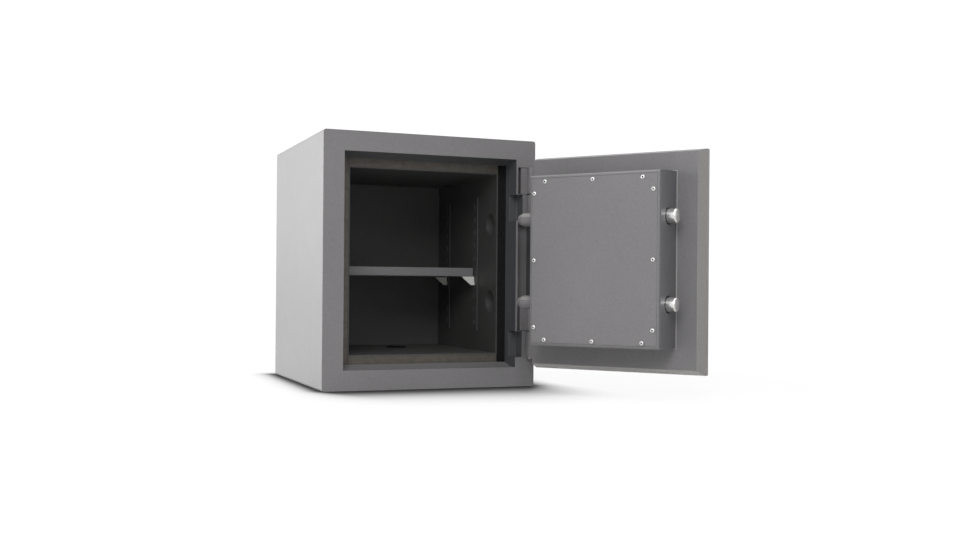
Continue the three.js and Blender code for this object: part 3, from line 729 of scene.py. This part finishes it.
def handle():
    """A turned hub with three swelling spokes."""
    centre = outward("handle_shaft")[0]
    bm = bmesh.new()
    hub = [
        (0, 1), (20.6, 1), (21, 1.4), (21, 4), (20.4, 8), (19, 12.5), (16.6, 18), (15.2, 24), (15, 36),
        (14.2, 40.5), (12.6, 43.5), (9.6, 45.6), (5, 46), (0, 46),
    ]
    turn(bm, [(r * MM, h * MM) for r, h in hub], centre, (0, -1, 0), 72)
    spoke = [
        (0, 10), (5, 10), (4.7, 20), (4.5, 30), (4.7, 38), (5.5, 46), (6.6, 52), (7, 56), (6.9, 59), (6, 62),
        (4.2, 64), (2, 64.9), (0, 65),
    ]
    profile = [(r * MM, h * MM) for r, h in spoke]
    spoke_height = 30 * MM
    root = centre + Vector((0, -spoke_height, 0))
    rest = math.radians(30)
    for k in range(3):
        a = rest + 2 * math.pi * k / 3
        turn(bm, profile, root, (math.sin(a), 0, math.cos(a)), 32)
    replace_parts(made("handle_turned", bm, NICKEL, "handle", DOOR, smooth=45), "handle")


def lock_front():
    """What the outside of the door carries, and the lock's works inside."""
    dial()
    dial_ring()
    handle()
    refined("handle_shaft", STEEL, 0.3 * MM, 2, 40)
    for node in ("dial_spindle", "wheel_pack", "lock_bolt"):
        refined(node, BRASS, 0.3 * MM, 2, 40)


# ---------------------------------------------------------------- setting

# How far the contact shadow reaches beside, before and behind the body, how its front narrows and how much
# of that narrowing goes into softer sides.
SHADOW_BESIDE = 0.045
SHADOW_BEFORE = 0.222
SHADOW_BEHIND = 0.045
SHADOW_NARROWING = 0.6
SHADOW_SOFTENING = 0.9

# The floor's brightness from the body's foot outwards, in units of that reach.
CONTACT = ((0, 0.03), (0.12, 0.05), (0.25, 0.22), (0.41, 0.5), (0.6, 0.76), (0.78, 0.9), (1, 1))

# Where the floor starts to run out into white, where it ends and how far it gets: near the body in units
# of the shadow's reach, farther away in metres.
NEAR_GLOW = (0.2, 1.7, 0.85)
FAR_GLOW = (0.3, 0.65, 1.0)

# The studio's white as it is seen, as metal mirrors it and as it fills shadows.
STUDIO_SEEN = 1.05
STUDIO_MIRRORED = 1.1
STUDIO_FILL = 0.2

# The photo's camera, fitted to the safe: place, direction in radians, lens and rise.
CAMERA_AT = (-0.6613, -2.1132, 0.1864)
YAW, PITCH, ROLL = 0.38552, 0.00161, 0.00791
LENS_MM = 40.52
RISE = 0.01083


def outside(n, side, front, back, narrowing=0.0):
    """How far a floor point lies outside the body's footprint, in units of the reach on each side.

    In front, the footprint narrows and its sides soften with distance.
    """
    lo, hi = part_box("outer_shell")
    split = n.tree.nodes.new("ShaderNodeSeparateXYZ")
    n.link(n.place, split.inputs[0])
    x, y = split.outputs["X"], split.outputs["Y"]
    ahead = n.math("MAXIMUM", n.math("SUBTRACT", lo.y, y), 0.0)
    behind = n.math("MAXIMUM", n.math("SUBTRACT", y, hi.y), 0.0)
    width = n.math("MULTIPLY_ADD", ahead, -narrowing, hi.x)
    beside = n.math("MAXIMUM", n.math("SUBTRACT", n.math("ABSOLUTE", x), width), 0.0)
    soft = n.math("MULTIPLY_ADD", ahead, narrowing * SHADOW_SOFTENING, side)
    across = n.math("POWER", n.math("DIVIDE", beside, soft), 2.0)
    along = n.math("ADD", n.math("DIVIDE", ahead, front), n.math("DIVIDE", behind, back))
    return n.math("SQRT", n.math("MULTIPLY_ADD", along, along, across))


def far_floor(n, near):
    """Away from the object the floor runs out into the white of the studio."""
    tree = n.tree
    glow = tree.nodes.new("ShaderNodeEmission")
    glow.inputs["Color"].default_value = (1, 1, 1, 1)
    glow.inputs["Strength"].default_value = STUDIO_SEEN
    spreads = []
    for value, (start, end, most) in ((near, NEAR_GLOW), (outside(n, 1.0, 1.0, 1.0), FAR_GLOW)):
        spread = tree.nodes.new("ShaderNodeMapRange")
        spread.interpolation_type = "SMOOTHSTEP"
        spread.inputs["From Min"].default_value = start
        spread.inputs["From Max"].default_value = end
        spread.inputs["To Max"].default_value = most
        n.link(value, spread.inputs["Value"])
        spreads.append(spread.outputs["Result"])
    path = tree.nodes.new("ShaderNodeLightPath")
    amount = n.math("MULTIPLY", n.math("MAXIMUM", *spreads), path.outputs["Is Camera Ray"])
    mixer = tree.nodes.new("ShaderNodeMixShader")
    n.link(amount, mixer.inputs["Fac"])
    n.link(n.shader.outputs[0], mixer.inputs[1])
    n.link(glow.outputs[0], mixer.inputs[2])
    n.link(mixer.outputs[0], tree.nodes["Material Output"].inputs["Surface"])


def floor():
    """A pale floor; only the camera sees its contact shadow, which takes no light from the body."""
    n = Nodes("pale_floor")
    shade = n.ramp(n.noise(3, 4), [(0.3, (0.9, 0.9, 0.9)), (0.7, (0.92, 0.92, 0.92))])
    near = outside(n, SHADOW_BESIDE, SHADOW_BEFORE, SHADOW_BEHIND, SHADOW_NARROWING)
    contact = n.ramp(near, [(at, (grey, grey, grey)) for at, grey in CONTACT])
    seen = n.tree.nodes.new("ShaderNodeLightPath").outputs["Is Camera Ray"]
    n.link(n.mix(seen, shade, n.mix(1.0, shade, contact, "MULTIPLY")), n.shader.inputs["Base Color"])
    n.shader.inputs["Roughness"].default_value = 0.6
    n.shader.inputs["Specular IOR Level"].default_value = 0.1
    far_floor(n, near)
    bm = bmesh.new()
    far = 30
    for corner in ((-far, -far), (far, -far), (far, far), (-far, far)):
        bm.verts.new((*corner, CAD_BOX[0][2]))
    bm.faces.new(bm.verts)
    mesh = bpy.data.meshes.new("floor")
    bm.to_mesh(mesh)
    bm.free()
    mesh.materials.append(n.material)
    obj = bpy.data.objects.new("floor", mesh)
    bpy.context.scene.collection.objects.link(obj)


def area(name, at, look, size, power):
    light = bpy.data.lights.new(name, "AREA")
    light.shape = "RECTANGLE"
    light.size, light.size_y = size
    light.energy = power
    obj = bpy.data.objects.new(name, light)
    obj.location = at
    obj.rotation_euler = (Vector(look) - Vector(at)).to_track_quat("-Z", "Y").to_euler()
    bpy.context.scene.collection.objects.link(obj)


def lights():
    """A white studio, a large soft light behind the left side, one overhead and one high in front."""
    world = bpy.data.worlds.new("studio")
    bpy.context.scene.world = world
    world.use_nodes = True
    tree = world.node_tree
    fill = tree.nodes["Background"]
    mirrored = tree.nodes.new("ShaderNodeBackground")
    seen = tree.nodes.new("ShaderNodeBackground")
    for node, strength in ((fill, STUDIO_FILL), (mirrored, STUDIO_MIRRORED), (seen, STUDIO_SEEN)):
        node.inputs["Color"].default_value = (1, 1, 1, 1)
        node.inputs["Strength"].default_value = strength
    path = tree.nodes.new("ShaderNodeLightPath")
    under = fill.outputs[0]
    for ray, over in (("Is Glossy Ray", mirrored), ("Is Camera Ray", seen)):
        mixer = tree.nodes.new("ShaderNodeMixShader")
        tree.links.new(path.outputs[ray], mixer.inputs["Fac"])
        tree.links.new(under, mixer.inputs[1])
        tree.links.new(over.outputs[0], mixer.inputs[2])
        under = mixer.outputs[0]
    tree.links.new(under, tree.nodes["World Output"].inputs["Surface"])
    area("left_behind", (-2.4, 1.5, 0.6), (-0.2, 0.05, 0.2), (1.8, 1.2), 94)
    area("ceiling", (0.2, -0.3, 2.8), (0.1, -0.15, 0), (2.4, 2.4), 30)
    area("front_high", (-1.2, -2.8, 1.9), (0.1, -0.2, 0.2), (1.6, 1.6), 54)


def camera():
    """At the height of the safe's middle, out in front and to the left."""
    level = math.cos(PITCH)
    ahead = Vector((math.sin(YAW) * level, math.cos(YAW) * level, math.sin(PITCH)))
    right = Vector((math.cos(YAW), -math.sin(YAW), 0))
    up = right.cross(ahead)
    c, s = math.cos(ROLL), math.sin(ROLL)
    right, up = right * c + up * s, up * c - right * s
    data = bpy.data.cameras.new("camera")
    data.sensor_width = 36
    data.lens = LENS_MM
    data.shift_y = RISE
    data.clip_start = 0.05
    obj = bpy.data.objects.new("camera", data)
    turned = Matrix((right, up, -ahead)).transposed().to_4x4()
    obj.matrix_world = Matrix.Translation(CAMERA_AT) @ turned
    bpy.context.scene.collection.objects.link(obj)
    bpy.context.scene.camera = obj
    bpy.context.scene.view_settings.view_transform = "Standard"


casing()
seal()
hinges()
interior()
door()
live_bolts()
cover_screws()
lock_front()
floor()
lights()
camera()
